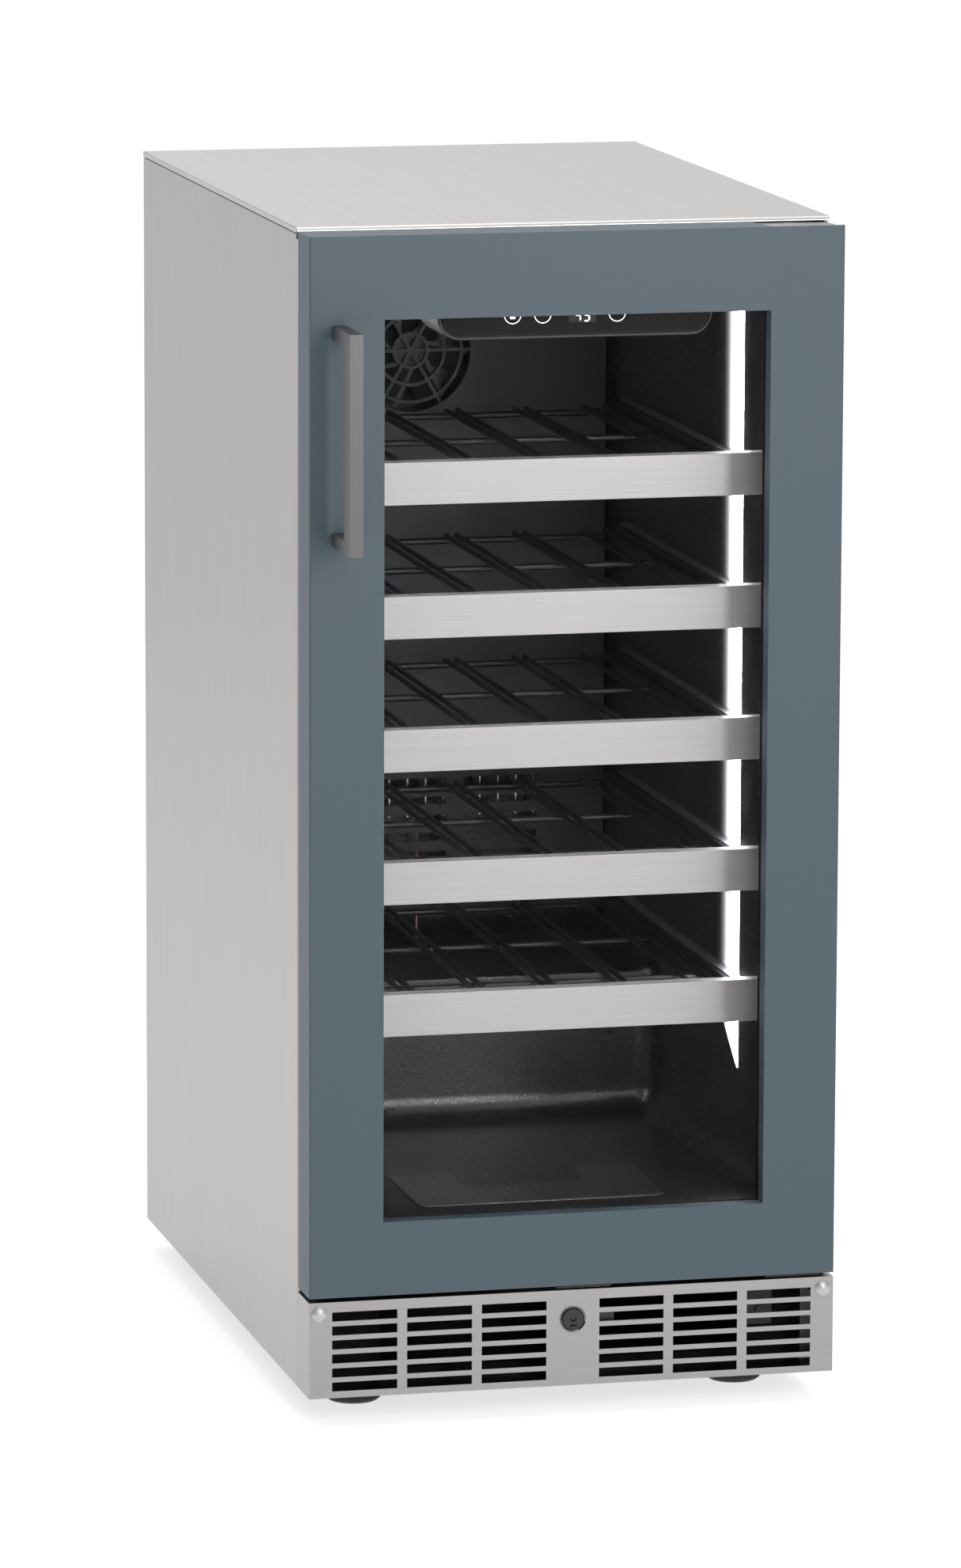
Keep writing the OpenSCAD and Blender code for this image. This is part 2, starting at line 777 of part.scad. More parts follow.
// Angle on the front frame with the lower hinge pin
module hinge_bracket_bottom() {
    top = door_z - 0.4;
    t = 2.4;
    color(steel) placed() {
        difference() {
            union() {
                translate([0, 0, top - t]) linear_extrude(t) hinge_outline(0);
                block([hinge_x - 44, -3, 50], [hinge_x - 26, -gap, top]);
            }
            for (p = hinge_low_screws) rod_y(p[0], p[1], -3 - thru, thru, 2.4);
        }
        rod_z(hinge_x, hinge_y, top - 0.1, top + 10, pin_r);
    }
}

module hinge_screws() {
    color(zinc) placed() {
        for (p = hinge_top_screws) {
            rod_z(p[0], p[1], plate_z + plate_t, plate_z + plate_t + 2, 4.2);
            rod_z(p[0], p[1], plate_z - 10, plate_z + plate_t + 0.1, 2.2);
        }
        for (p = hinge_low_screws) {
            rod_y(p[0], p[1], -5, -3, 4.2);
            rod_y(p[0], p[1], -3.1, -0.3, 2.2);
        }
    }
}

// Plastic bushes in the door that turn on the hinge pins
module hinge_bushes() {
    color("#d9d9d4") placed() {
        difference() {
            rod_z(hinge_x, hinge_y, plate_z - 13, recess_z, bush_r);
            rod_z(hinge_x, hinge_y, plate_z - 11.5, recess_z + thru, pin_r + running);
        }
        difference() {
            rod_z(hinge_x, hinge_y, door_z, door_z + 13, bush_r);
            rod_z(hinge_x, hinge_y, door_z - thru, door_z + 11.5, pin_r + running);
        }
    }
}

// ---- Door ----

// What the top hinge plate sweeps over, cut out of the door's upper right corner
module hinge_recess() {
    left = hinge_x - 43;
    translate([0, 0, recess_z]) linear_extrude(20)
        polygon([[left - 7, thru], [left, recess_y], [half_w + thru, recess_y], [half_w + thru, thru]]);
}

module keeper_block(grow) {
    block([keeper_low - 2 - grow, cam_y - 3 - grow, door_z - thru],
        [keeper_high + 2 + grow, cam_y + 5 + grow, door_z + 11 + grow]);
}

// Painted skin of the door: a face with lips round its edges and round the window
module door_panel() {
    edge = 1.5;
    color(blue) placed() difference() {
        union() {
            block([-half_w + edge, face_y, door_z], [half_w - edge, door_back, door_top]);
            block([-half_w, face_y + edge, door_z], [half_w, door_back, door_top]);
            both_sides() rod_z(half_w - edge, face_y + edge, door_z, door_top, edge);
        }
        difference() {
            block([-half_w + skin, face_y + skin, door_z + skin],
                [half_w - skin, door_back + thru, door_top - skin]);
            block([-win_x - skin, face_y, win_z - skin], [win_x + skin, glass_y, win_top + skin]);
        }
        block([-win_x, face_y - thru, win_z], [win_x, 0, win_top]);
        hinge_recess();
        rod_z(hinge_x, hinge_y, door_z - thru, door_z + skin + thru, bush_r);
        keeper_block(0);
        for (z = handle_posts) rod_y(handle_x, z, face_y - thru, face_y + skin + thru, handle_screw_r + 0.1);
    }
}

// Moulded frame inside the door: it holds the glass, the gasket, the bushes and the keeper
module door_frame() {
    x = half_w - skin - 0.1;
    low = door_z + skin + 0.1;
    high = door_top - skin - 0.1;
    lip = win_x + skin + gap;
    seat = win_x + glass_edge + gap;
    seat_y = inner_glass_y + glass_t + gap;
    color("#26282c") placed() difference() {
        block([-x, face_y + skin + 0.1, low], [x, door_back, high]);
        block([-seal_out - 0.4, frame_back, seal_low - 0.4], [seal_out + 0.4, 0, seal_high + 0.4]);
        block([-lip, face_y, win_z - skin - gap], [lip, 0, win_top + skin + gap]);
        block([-seat, glass_y - gap, win_z - glass_edge - gap], [seat, seat_y, win_top + glass_edge + gap]);
        hinge_recess();
        rod_z(hinge_x, hinge_y, plate_z - 13, recess_z + thru, bush_r + 0.02);
        rod_z(hinge_x, hinge_y, low - thru, door_z + 13, bush_r + 0.02);
        keeper_block(0.1);
        for (z = handle_posts) {
            rod_y(handle_x, z, face_y, 0, 5.5);
        }
    }
}

module glass_pane(y) {
    x = win_x + glass_edge;
    block([-x, y, win_z - glass_edge], [x, y + glass_t, win_top + glass_edge]);
}

module glass_outer() { color([0.75, 0.85, 0.88, 0.3]) placed() glass_pane(glass_y); }

module glass_inner() { color([0.75, 0.85, 0.88, 0.3]) placed() glass_pane(inner_glass_y); }

module glass_spacer() {
    out = glass_edge - 0.5;
    in = 2.5;
    color("#18181a") placed()
        door_ring(win_x + out, win_z - out, win_top + out, win_x + in, win_z - in, win_top + in,
            glass_y + glass_t, inner_glass_y);
}

// Magnetic gasket: a foot in the frame, a narrow neck and a bulb against the cabinet
module door_gasket() {
    tiers = [[0, frame_back, -8.5], [3.5, -8.6, -5.4], [1, -5.5, -0.3]];
    color("#3a3b3d") placed() for (t = tiers)
        door_ring(seal_out - t[0], seal_low + t[0], seal_high - t[0],
            seal_in + t[0], seal_low + 12 - t[0], seal_high - 12 + t[0], t[1], t[2]);
}

handle_posts = [handle_z + handle_w / 2, handle_z + handle_l - handle_w / 2];

// Square handle: a grip on two posts, with blind screw holes from behind
module door_handle() {
    out = face_y - handle_out;
    w = handle_w / 2;
    color(steel) placed() difference() {
        union() {
            block([handle_x - w, out, handle_z], [handle_x + w, out + grip_t, handle_z + handle_l]);
            for (z = handle_posts)
                block([handle_x - w, out + grip_t - thru, z - w], [handle_x + w, face_y, z + w]);
        }
        for (z = handle_posts) rod_y(handle_x, z, face_y - 14, face_y + thru, handle_screw_r);
    }
}

module handle_screws() {
    color(zinc) placed() for (z = handle_posts) {
        rod_y(handle_x, z, face_y - 12, face_y + skin + 0.1, handle_screw_r - 0.1);
        rod_y(handle_x, z, face_y + skin, face_y + skin + 4, 4.5);
    }
}

// Cup in the door's lower edge that the lock's cam turns into
module lock_keeper() {
    color("#2e3033") placed() difference() {
        block([keeper_low - 1.9, cam_y - 2.9, door_z], [keeper_high + 1.9, cam_y + 4.9, door_z + 11]);
        block([keeper_low, cam_y - 1.4, door_z - thru], [keeper_high, cam_y + 3.4, door_z + 9.6]);
    }
}

side_panel_left();
side_panel_right();
top_panel();
back_panel();
service_cover();
base_pan();
bay_partition();
inner_liner();
insulation_foam();
evaporator_cover();
evaporator_coil();
evaporator_fan_motor();
evaporator_fan();
light_bar_left();
light_bar_right();
control_housing();
control_glass();
rack_rails_left();
rack_rails_right();
for (i = [1 : rack_count]) {
    rack_fascia(i);
    rack_shelf(i);
}
compressor();
compressor_mounts();
condenser_coil();
condenser_fan_motor();
condenser_fan();
drip_tray();
filter_drier();
refrigerant_lines();
power_inlet();
rear_screws();
kick_grille();
grille_screws();
lock_barrel();
lock_plug();
foot(-foot_x, foot_y[0]);  // foot_front_left
foot(foot_x, foot_y[0]);  // foot_front_right
foot(-foot_x, foot_y[1]);  // foot_rear_left
foot(foot_x, foot_y[1]);  // foot_rear_right
hinge_bracket_top();
hinge_bracket_bottom();
hinge_screws();
hinge_bushes();
door_panel();
door_frame();
glass_outer();
glass_inner();
glass_spacer();
door_gasket();
door_handle();
handle_screws();
lock_keeper();
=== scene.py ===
"""Looks of the undercounter wine cooler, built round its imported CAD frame. Metres, +Z up, -Y the front."""

import math

import bmesh
import bpy
from mathutils import Matrix, Vector


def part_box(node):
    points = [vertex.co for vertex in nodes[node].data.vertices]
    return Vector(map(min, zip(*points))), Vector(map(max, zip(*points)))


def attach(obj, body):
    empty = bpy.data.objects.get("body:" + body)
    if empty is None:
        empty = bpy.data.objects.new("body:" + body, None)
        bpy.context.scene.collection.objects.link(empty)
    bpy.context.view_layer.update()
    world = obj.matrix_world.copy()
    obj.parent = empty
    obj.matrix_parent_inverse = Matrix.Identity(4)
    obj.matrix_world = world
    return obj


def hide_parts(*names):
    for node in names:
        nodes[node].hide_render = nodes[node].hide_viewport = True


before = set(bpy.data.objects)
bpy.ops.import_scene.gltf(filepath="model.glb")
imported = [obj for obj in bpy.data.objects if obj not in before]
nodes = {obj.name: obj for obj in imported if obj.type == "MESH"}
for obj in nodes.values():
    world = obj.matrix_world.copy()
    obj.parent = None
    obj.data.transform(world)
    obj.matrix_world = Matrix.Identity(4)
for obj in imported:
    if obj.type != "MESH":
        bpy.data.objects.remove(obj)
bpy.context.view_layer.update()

MM = 0.001
WELD = 0.01 * MM  # points nearer than this are one point
INK = 0.1 * MM  # thickness of raised symbols and marks
scene = bpy.context.scene


# ---------------------------------------------------------------- camera, floor and light

CAMERA_AT = Vector((-1.395, -5.768, 1.452))
CAMERA_YAW = math.radians(13.55)
CAMERA_PITCH = math.radians(10.01)
CAMERA_ROLL = math.radians(0.21)
SENSOR = 36.0
FOCAL = 191.4


def make_camera():
    """The camera at the photograph's viewing angle, with no shift and no depth of field."""
    forward = Vector(
        (
            math.sin(CAMERA_YAW) * math.cos(CAMERA_PITCH),
            math.cos(CAMERA_YAW) * math.cos(CAMERA_PITCH),
            -math.sin(CAMERA_PITCH),
        )
    )
    level = Vector((math.cos(CAMERA_YAW), -math.sin(CAMERA_YAW), 0.0))
    upright = level.cross(forward)
    right = level * math.cos(CAMERA_ROLL) + upright * math.sin(CAMERA_ROLL)
    up = upright * math.cos(CAMERA_ROLL) - level * math.sin(CAMERA_ROLL)
    turn = Matrix((right, up, -forward)).transposed()
    data = bpy.data.cameras.new("camera")
    data.lens = FOCAL
    data.sensor_width = SENSOR
    data.clip_end = 60.0
    camera = bpy.data.objects.new("camera", data)
    camera.matrix_world = Matrix.Translation(CAMERA_AT) @ turn.to_4x4()
    scene.collection.objects.link(camera)
    scene.camera = camera


def area_light(name, at, aim, size, power):
    """A white rectangular soft light that faces aim."""
    data = bpy.data.lights.new(name, "AREA")
    data.shape = "RECTANGLE"
    data.size, data.size_y = size
    data.energy = power
    lamp = bpy.data.objects.new(name, data)
    lamp.location = at
    lamp.rotation_euler = (Vector(aim) - Vector(at)).to_track_quat("-Z", "Y").to_euler()
    scene.collection.objects.link(lamp)


def ramp(tree, value, low, high, at_low, at_high):
    """Runs smoothly from at_low to at_high as value goes from low to high."""
    span = tree.nodes.new("ShaderNodeMapRange")
    span.interpolation_type = "SMOOTHSTEP"
    for socket, number in (("From Min", low), ("From Max", high), ("To Min", at_low), ("To Max", at_high)):
        span.inputs[socket].default_value = number
    tree.links.new(value, span.inputs["Value"])
    return span.outputs["Result"]


def make_surroundings():
    """White below the horizon; above it a pale room, dark on the left and dimmer on the far right."""
    world = bpy.data.worlds.new("studio")
    world.use_nodes = True
    tree = world.node_tree
    toward = tree.nodes.new("ShaderNodeTexCoord")
    split = tree.nodes.new("ShaderNodeSeparateXYZ")
    tree.links.new(toward.outputs["Generated"], split.inputs["Vector"])
    rise = ramp(tree, split.outputs["X"], -0.3, 0.15, 0.12, 0.95)
    fall = ramp(tree, split.outputs["X"], 0.2, 0.6, 1.0, 0.5)
    room = tree.nodes.new("ShaderNodeMath")
    room.operation = "MULTIPLY"
    tree.links.new(rise, room.inputs[0])
    tree.links.new(fall, room.inputs[1])
    above = ramp(tree, split.outputs["Z"], -0.015, 0.015, 0.0, 1.0)
    mix = tree.nodes.new("ShaderNodeMix")
    mix.inputs["A"].default_value = 1.0
    tree.links.new(room.outputs["Value"], mix.inputs["B"])
    tree.links.new(above, mix.inputs["Factor"])
    background = tree.nodes["Background"]
    background.inputs["Color"].default_value = (1.0, 1.0, 1.0, 1.0)
    tree.links.new(mix.outputs["Result"], background.inputs["Strength"])
    scene.world = world


def make_studio():
    """Pale surroundings, a strip light at the front right and soft lights in front, on the left and above."""
    make_surroundings()
    scene.view_settings.view_transform = "Standard"
    area_light("key_strip", (0.62, -2.5, 1.2), (0.05, -0.2, 0.4), (0.26, 1.2), 18.0)
    area_light("front_soft", (-0.15, -3.6, 1.9), (0.05, -0.2, 0.5), (0.7, 1.6), 14.0)
    area_light("left_soft", (-2.9, 0.1, 1.2), (-0.1, -0.1, 0.4), (1.6, 1.6), 10.0)
    area_light("top_soft", (-0.4, 0.5, 3.2), (0.0, 0.0, 0.4), (4.2, 4.2), 75.0)


# ---------------------------------------------------------------- meshes


def mesh_object(name, bm):
    """A shown object from a bmesh, with outward normals."""
    bmesh.ops.recalc_face_normals(bm, faces=bm.faces)
    data = bpy.data.meshes.new(name)
    bm.to_mesh(data)
    bm.free()
    piece = bpy.data.objects.new(name, data)
    scene.collection.objects.link(piece)
    return piece


def smooth(piece, angle):
    """Smooth shading, with edges sharper than an angle in degrees kept sharp."""
    for face in piece.data.polygons:
        face.use_smooth = True
    piece.data.set_sharp_from_angle(angle=math.radians(angle))


def bevel_edges(piece, width, segments, angle):
    """Rounds the edges sharper than an angle in degrees by width millimetres."""
    bevel = piece.modifiers.new("bevel", "BEVEL")
    bevel.width = width * MM
    bevel.segments = segments
    bevel.limit_method = "ANGLE"
    bevel.angle_limit = math.radians(angle)


def soften(name, width):
    """Rounds the sharp edges of a CAD node by width millimetres, without touching its mesh."""
    piece = nodes[name]
    weld = piece.modifiers.new("weld", "WELD")
    weld.merge_threshold = WELD
    bevel_edges(piece, width, 2, 40)
    normals = piece.modifiers.new("normals", "WEIGHTED_NORMAL")
    normals.keep_sharp = False
    normals.weight = 80


def lathe_into(bm, profile, centre, axis, steps, closed=False, teeth=0, depth=0.0, knurled=()):
    """Turns (radius, height) pairs about an axis; those whose index is in knurled get teeth of that depth."""
    along = Vector(axis).normalized()
    side = along.orthogonal().normalized()
    other = along.cross(side)
    rings = []
    for index, (radius, height) in enumerate(profile):
        ring = []
        for i in range(steps):
            a = 2 * math.pi * i / steps
            r = radius
            if index in knurled:
                r -= depth * (0.5 - 0.5 * math.cos(a * teeth))
            outward = side * math.cos(a) + other * math.sin(a)
            ring.append(bm.verts.new(Vector(centre) + along * height + outward * r))
        rings.append(ring)
    pairs = list(zip(rings, rings[1:]))
    if closed:
        pairs.append((rings[-1], rings[0]))
    for low, high in pairs:
        for i in range(steps):
            j = (i + 1) % steps
            bm.faces.new((low[i], low[j], high[j], high[i]))
    if not closed:
        bm.faces.new(rings[0])
        bm.faces.new(list(reversed(rings[-1])))


def rounded_outline(corners, radius, steps):
    """A closed outline whose corners are arcs of so many steps; radius is one value, or one for each."""
    radii = radius if isinstance(radius, (list, tuple)) else [radius] * len(corners)
    outline = []
    for i, corner in enumerate(corners):
        here = Vector(corner)
        before = (Vector(corners[i - 1]) - here).normalized()
        after = (Vector(corners[(i + 1) % len(corners)]) - here).normalized()
        half = before.angle(after) / 2
        reach = radii[i] / math.tan(half)
        start = here + before * reach
        end = here + after * reach
        middle = here + (before + after).normalized() * (radii[i] / math.sin(half))
        for k in range(steps + 1):
            chord = start.lerp(end, k / steps)
            outline.append(middle + (chord - middle).normalized() * radii[i])
    return outline


def prism_into(bm, outline, to_space, low, high):
    """A prism of a flat outline from one depth to another; to_space(u, v, depth) gives its points."""
    rings = [[bm.verts.new(to_space(p[0], p[1], d)) for p in outline] for d in (low, high)]
    count = len(outline)
    for i in range(count):
        j = (i + 1) % count
        bm.faces.new((rings[0][i], rings[0][j], rings[1][j], rings[1][i]))
    bm.faces.new(rings[0])
    bm.faces.new(list(reversed(rings[1])))


def ring_prism_into(bm, outer, inner, to_space, low, high):
    """A flat ring between two outlines with as many points, with thickness."""
    edges = ((outer, low), (outer, high), (inner, high), (inner, low))
    loops = [[bm.verts.new(to_space(p[0], p[1], d)) for p in outline] for outline, d in edges]
    count = len(outer)
    for a, b in zip(loops, loops[1:] + loops[:1]):
        for i in range(count):
            j = (i + 1) % count
            bm.faces.new((a[i], a[j], b[j], b[i]))


def rect_sweep(name, profile, half_x, low_z, high_z, corner):
    """A closed profile of (outward, y) points carried round an upright rectangle with round corners."""
    bm = bmesh.new()
    loops = []
    for out, y in profile:
        x = half_x + out
        corners = [(-x, low_z - out), (x, low_z - out), (x, high_z + out), (-x, high_z + out)]
        loops.append([bm.verts.new((p[0], y, p[1])) for p in rounded_outline(corners, corner + out, 5)])
    count = len(loops[0])
    for a, b in zip(loops, loops[1:] + loops[:1]):
        for i in range(count):
            j = (i + 1) % count
            bm.faces.new((a[i], a[j], b[j], b[i]))
    return mesh_object(name, bm)


# ---------------------------------------------------------------- materials


def material(name, colour, metallic=0.0, roughness=0.5, **sockets):
    """A Principled material; sockets are set by name, with underscores for spaces."""
    made = bpy.data.materials.new(name)
    made.use_nodes = True
    shader = made.node_tree.nodes["Principled BSDF"]
    shader.inputs["Base Color"].default_value = (*colour, 1.0)
    shader.inputs["Metallic"].default_value = metallic
    shader.inputs["Roughness"].default_value = roughness
    for socket, value in sockets.items():
        shader.inputs[socket.replace("_", " ")].default_value = value
    return made


def stretched_noise(tree, scale, detail=4.0):
    """Noise in the piece's own coordinates; scale is its cells per metre along x, y and z."""
    place = tree.nodes.new("ShaderNodeTexCoord")
    stretch = tree.nodes.new("ShaderNodeMapping")
    stretch.inputs["Scale"].default_value = scale
    noise = tree.nodes.new("ShaderNodeTexNoise")
    noise.inputs["Scale"].default_value = 1.0
    noise.inputs["Detail"].default_value = detail
    noise.inputs["Roughness"].default_value = 0.6
    tree.links.new(place.outputs["Object"], stretch.inputs["Vector"])
    tree.links.new(stretch.outputs["Vector"], noise.inputs["Vector"])
    return noise.outputs["Fac"]


def spread(tree, value, low, high):
    """Maps noise, whose values lie mostly from 0.3 to 0.7, onto low to high."""
    span = tree.nodes.new("ShaderNodeMapRange")
    span.inputs["From Min"].default_value = 0.3
    span.inputs["From Max"].default_value = 0.7
    span.inputs["To Min"].default_value = low
    span.inputs["To Max"].default_value = high
    tree.links.new(value, span.inputs["Value"])
    return span.outputs["Result"]


def vary_roughness(made, scale, low, high):
    """Lets noise carry the roughness from low to high."""
    tree = made.node_tree
    shader = tree.nodes["Principled BSDF"]
    tree.links.new(spread(tree, stretched_noise(tree, scale), low, high), shader.inputs["Roughness"])


def vary_colour(made, scale, dark, light):
    """Mixes two colours by noise."""
    tree = made.node_tree
    shader = tree.nodes["Principled BSDF"]
    mix = tree.nodes.new("ShaderNodeMix")
    mix.data_type = "RGBA"
    mix.inputs["A"].default_value = (*dark, 1.0)
    mix.inputs["B"].default_value = (*light, 1.0)
    tree.links.new(spread(tree, stretched_noise(tree, scale), 0.0, 1.0), mix.inputs["Factor"])
    tree.links.new(mix.outputs["Result"], shader.inputs["Base Color"])


def add_bump(made, scale, depth):
    """Fine relief, depth in millimetres."""
    tree = made.node_tree
    bump = tree.nodes.new("ShaderNodeBump")
    bump.inputs["Strength"].default_value = 1.0
    bump.inputs["Distance"].default_value = depth * MM
    tree.links.new(stretched_noise(tree, scale, 3.0), bump.inputs["Height"])
    tree.links.new(bump.outputs["Normal"], tree.nodes["Principled BSDF"].inputs["Normal"])


def shade(colour, factor):
    """The colour made darker or lighter by a factor."""
    return tuple(c * factor for c in colour)


STEEL = (0.5, 0.487, 0.474)


def brushed(name, along, colour=STEEL, rough=(0.3, 0.4), relief=0.006, stretch=0.6, turned=0.0, metal=1.0):
    """Steel brushed along one axis: long fine scratches in roughness, colour and relief."""
    across, lengthwise = 1600.0, 9.0
    scale = [across] * 3
    scale["xyz".index(along)] = lengthwise
    made = material(name, colour, metallic=metal, Anisotropic=stretch, Anisotropic_Rotation=turned)
    vary_roughness(made, scale, *rough)
    vary_colour(made, [s * 0.7 for s in scale], shade(colour, 0.94), shade(colour, 1.05))
    add_bump(made, scale, relief)
    return made


def grained(name, colour, rough, cells, relief, metallic=0.0, contrast=0.12, **sockets):
    """A moulded, painted or coated surface with a fine grain."""
    made = material(name, colour, metallic=metallic, **sockets)
    vary_roughness(made, [cells] * 3, *rough)
    vary_colour(made, [cells * 0.35] * 3, shade(colour, 1 - contrast), shade(colour, 1 + contrast))
    add_bump(made, [cells] * 3, relief)
    return made


def glowing(name, colour, strength):
    """A surface that gives its own light."""
    return material(name, colour, roughness=0.4, Emission_Color=(*colour, 1.0), Emission_Strength=strength)


def fading(made, bright_y, dark_y, strength):
    """Lets a diffuser's glow fade from bright_y to dark_y: lamp light from the diodes along its front edge,
    and further back a painted glow of their light on the liner wall.
    """
    tree = made.node_tree
    place = tree.nodes.new("ShaderNodeTexCoord")
    split = tree.nodes.new("ShaderNodeSeparateXYZ")
    tree.links.new(place.outputs["Object"], split.inputs["Vector"])
    near = tree.nodes.new("ShaderNodeMapRange")
    near.inputs["From Min"].default_value = dark_y
    near.inputs["From Max"].default_value = bright_y
    tree.links.new(split.outputs["Y"], near.inputs["Value"])
    fall = tree.nodes.new("ShaderNodeMath")
    fall.operation = "POWER"
    fall.inputs[1].default_value = 5.9
    tree.links.new(near.outputs["Result"], fall.inputs[0])
    glow = tree.nodes.new("ShaderNodeMath")
    glow.operation = "MULTIPLY"
    glow.inputs[1].default_value = strength
    tree.links.new(fall.outputs["Value"], glow.inputs[0])
    tree.links.new(glow.outputs["Value"], tree.nodes["Principled BSDF"].inputs["Emission Strength"])
    return made


LED_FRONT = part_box("light_bar_right")[0].y
LED_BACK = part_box("light_bar_right")[1].y
LED_GLOW = 60.0

# Colours are linear; grained() takes colour, roughness range, cells per metre and relief in millimetres.
MATERIALS = {
    # Stainless of the kick grille and top hinge bracket, darker than the top panel's steel: painted shade.
    "steel_x": brushed("steel_brushed_x_painted_shade", "x", (0.31, 0.302, 0.294), (0.28, 0.36), 0.002, turned=0.25),
    "steel_y": brushed("steel_brushed_y", "y", stretch=0.0),
    # Stainless of the side panels, darker than the top panel's steel: painted shade.
    "steel_z": brushed("steel_brushed_z_painted_shade", "z", (0.42, 0.409, 0.398)),
    # Stainless of the rack fronts, lighter than the cabinet's steel: painted light.
    "rack_steel": brushed("rack_front_steel_painted_light", "x", (0.6, 0.586, 0.573), (0.38, 0.46), stretch=0.0, metal=0.4),
    # Stainless of the handle, darkened well below the cabinet's steel: painted shade of the dark it reflects.
    "handle": brushed("handle_steel_painted_shade", "z", (0.16, 0.159, 0.161), (0.34, 0.44)),
    "zinc": grained("galvanised_sheet", (0.5, 0.51, 0.52), (0.35, 0.55), 160.0, 0.01, metallic=1.0),
    "black_steel": grained("black_powder_coat", (0.022, 0.022, 0.024), (0.42, 0.58), 1400.0, 0.03),
    # Near black with hardly any sheen: the bay's black paint darkened further as painted shade, so the
    # grille's slots look into darkness; on the lock, painted shade in the plug's recesses.
    "black_and_painted_shade": grained(
        "black_and_painted_shade_paint", (0.005, 0.005, 0.006), (0.5, 0.65), 1100.0, 0.03, Specular_IOR_Level=0.08
    ),
    "wire": grained("coated_wire", (0.012, 0.012, 0.013), (0.25, 0.4), 900.0, 0.02),
    "liner": grained(
        "liner_plastic", (0.016, 0.0157, 0.0162), (0.26, 0.32), 700.0, 0.0015, Specular_IOR_Level=0.9
    ),
    "plastic": grained("black_plastic", (0.02, 0.02, 0.022), (0.4, 0.55), 1200.0, 0.03),
    "foam": grained("rigid_foam", (0.72, 0.64, 0.42), (0.8, 0.95), 300.0, 0.3),
    "copper": grained("copper_tube", (0.72, 0.38, 0.25), (0.25, 0.4), 120.0, 0.01, metallic=1.0),
    "fins": brushed("fin_aluminium", "z", (0.72, 0.73, 0.75)),
    "panel": grained("touch_panel", (0.01, 0.01, 0.011), (0.4, 0.48), 700.0, 0.004, Specular_IOR_Level=0.15),
    # Lighter than the panel's plastic: a painted highlight along the bezel's raised edge.
    "rim": grained("panel_rim_painted_highlight", (0.06, 0.062, 0.066), (0.25, 0.32), 900.0, 0.004),
    "display": grained("display_window", (0.003, 0.003, 0.003), (0.12, 0.16), 500.0, 0.002),
    "paint": grained("door_paint", (0.053, 0.08, 0.101), (0.45, 0.52), 900.0, 0.004, contrast=0.03),
    "seal": grained("seal_rubber", (0.045, 0.045, 0.05), (0.55, 0.7), 900.0, 0.03),
    "rubber": grained("mount_rubber", (0.018, 0.018, 0.018), (0.6, 0.8), 700.0, 0.05),
    # Chrome darkened to a mid grey: painted shade of the dark it reflects.
    "chrome": grained("lock_chrome_painted_shade", (0.24, 0.245, 0.25), (0.06, 0.14), 500.0, 0.004, metallic=1.0),
    "satin": grained("satin_screw_steel", (0.5, 0.495, 0.49), (0.42, 0.5), 900.0, 0.004, metallic=0.8),
    "lock": grained("lock_face_steel", (0.05, 0.054, 0.054), (0.35, 0.45), 900.0, 0.02, metallic=1.0),
    "bush": grained("bush_plastic", (0.78, 0.78, 0.74), (0.4, 0.55), 900.0, 0.02),
    # Glowing diffusers: lamp light at the front edge, fading into a painted glow of the lit liner wall
    # further back.
    "led": fading(
        material("led_diffuser_and_painted_glow", (0.02, 0.02, 0.02), Emission_Color=(0.96, 0.98, 1.0, 1.0)),
        LED_FRONT,
        LED_BACK,
        LED_GLOW,
    ),
    "icon": glowing("icon_light", (0.9, 0.95, 1.0), 1.6),
    "glass": material("window_glass", (0.0, 0.0, 0.0), roughness=0.03, IOR=1.45, Alpha=0.03),
}

NODE_MATERIALS = {
    "steel_z": ["side_panel_left", "side_panel_right"],
    "steel_y": ["top_panel"],
    "steel_x": ["kick_grille", "hinge_bracket_top"],
    "rack_steel": [f"rack_{i}_fascia" for i in range(1, 6)],
    "handle": ["door_handle"],
    "zinc": ["back_panel", "service_cover", "bay_partition", "rear_screws", "handle_screws"]
    + ["rack_rails_left", "rack_rails_right"],
    "black_steel": ["hinge_bracket_bottom", "hinge_screws"],
    "black_and_painted_shade": ["base_pan", "compressor", "condenser_coil"],
    "wire": [f"rack_{i}_shelf" for i in range(1, 6)],
    "liner": ["inner_liner"],
    "plastic": ["evaporator_cover", "evaporator_fan", "evaporator_fan_motor", "control_housing", "drip_tray"]
    + ["condenser_fan", "condenser_fan_motor", "power_inlet", "door_frame", "glass_spacer", "lock_keeper"]
    + ["foot_front_left", "foot_front_right", "foot_rear_left", "foot_rear_right"],
    "foam": ["insulation_foam"],
    "copper": ["filter_drier", "refrigerant_lines"],
    "fins": ["evaporator_coil"],
    "panel": ["control_glass"],
    "paint": ["door_panel"],
    "seal": ["door_gasket"],
    "rubber": ["compressor_mounts"],
    "satin": ["grille_screws"],
    "chrome": ["lock_barrel"],
    "lock": ["lock_plug"],
    "bush": ["hinge_bushes"],
    "led": ["light_bar_left", "light_bar_right"],
    "glass": ["glass_outer", "glass_inner"],
}


def coat(piece, key):
    """Gives a whole piece one material."""
    piece.data.materials.clear()
    piece.data.materials.append(MATERIALS[key])


def dress_nodes():
    """Gives every carried-over CAD node its material."""
    for key, names in NODE_MATERIALS.items():
        for name in names:
            coat(nodes[name], key)


